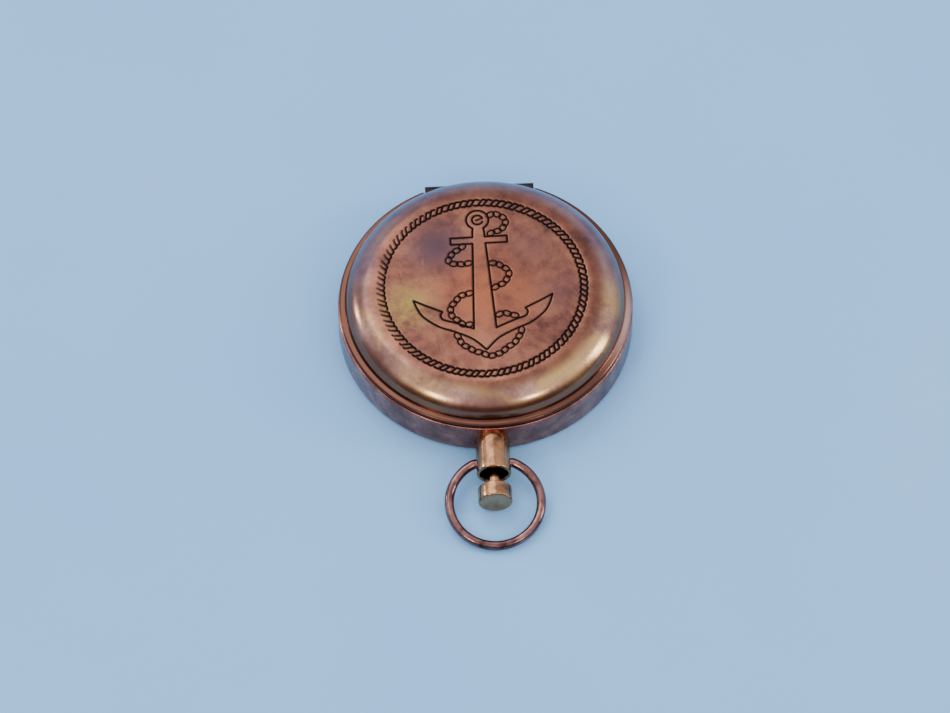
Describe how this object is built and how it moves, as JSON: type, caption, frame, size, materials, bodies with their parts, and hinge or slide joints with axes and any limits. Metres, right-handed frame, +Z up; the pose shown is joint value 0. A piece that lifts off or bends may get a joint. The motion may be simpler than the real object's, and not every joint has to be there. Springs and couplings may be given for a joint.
{
  "type": "pocket sundial",
  "caption": "Round pocket sundial in a shallow hinged case, with a push-button stem, a carrying bow, a compass and a folding gnomon.",
  "frame": {"origin": "middle of the flat face under the case, which it rests on", "axes": "+Z up through the lid, +Y towards the lid's hinge, -Y along the stem and the bow"},
  "size_m": [0.05, 0.0698, 0.0122],
  "materials": {
    "copper_case": "antique copper finish, satin with polished shoulder",
    "stem_brass": "polished, lightly tarnished",
    "bow_copper": "polished copper wash, darkened in the hollows",
    "dark_hinge": "darkened",
    "spring_steel": "tempered",
    "dial_brass": "satin, engraved and blackened",
    "card_print": "printed card",
    "needle_blue": "blued",
    "glass": "clear, flat"
  },
  "bodies": {
    "case": {"case_base": "copper_case", "stem_tube": "stem_brass", "base_hinge_leaf": "dark_hinge", "hinge_pin": "dark_hinge", "lid_spring": "spring_steel", "button_spring": "spring_steel", "lock_spring": "spring_steel", "compass_card": "card_print", "needle_post": "dial_brass", "spacer_ring": "dial_brass", "crystal": "glass", "hour_plate": "dial_brass", "retaining_ring": "dial_brass", "gnomon_lug_north": "dial_brass", "gnomon_lug_south": "dial_brass", "gnomon_spindle": "dial_brass", "gnomon_spring": "spring_steel"},
    "lid": {"lid": "copper_case", "lid_rim": "copper_case", "lid_hinge_leaf": "dark_hinge"},
    "needle": {"needle": "needle_blue", "needle_cap": "dial_brass"},
    "button": {"button_cap": "stem_brass", "plunger_shaft": "stem_brass", "spring_collar": "stem_brass", "plunger_clip": "spring_steel"},
    "bow": {"bow": "bow_copper"},
    "gnomon": {"gnomon": "dial_brass"}
  },
  "joints": [
    {"name": "lid_hinge", "type": "hinge", "parent": "case", "child": "lid", "pos_m": [0, 0.0228, 0.007], "axis": [-1, 0, 0], "range_deg": [0, 100], "deforming": ["lid_spring", "lock_spring"]},
    {"name": "button_press", "type": "slide", "parent": "case", "child": "button", "axis": [0, 1, 0], "range_m": [0, 0.002], "stiffness_N_per_m": 250, "springref_m": -0.002, "deforming": ["button_spring", "lock_spring"]},
    {"name": "bow_swing", "type": "hinge", "parent": "case", "child": "bow", "pos_m": [0, -0.02953, 0.0034], "axis": [-1, 0, 0], "range_deg": [-115, 140]},
    {"name": "needle_spin", "type": "hinge", "parent": "case", "child": "needle", "pos_m": [0, 0, 0.0027], "axis": [0, 0, 1], "continuous": true},
    {"name": "gnomon_fold", "type": "hinge", "parent": "case", "child": "gnomon", "pos_m": [0, 0, 0.0057], "axis": [0, -1, 0], "range_deg": [0, 90], "deforming": ["gnomon_spring"]}
  ],
  "couplings": [
    {"joint": "gnomon_fold", "follows": "lid_hinge", "ratio": 0.9}
  ]
}
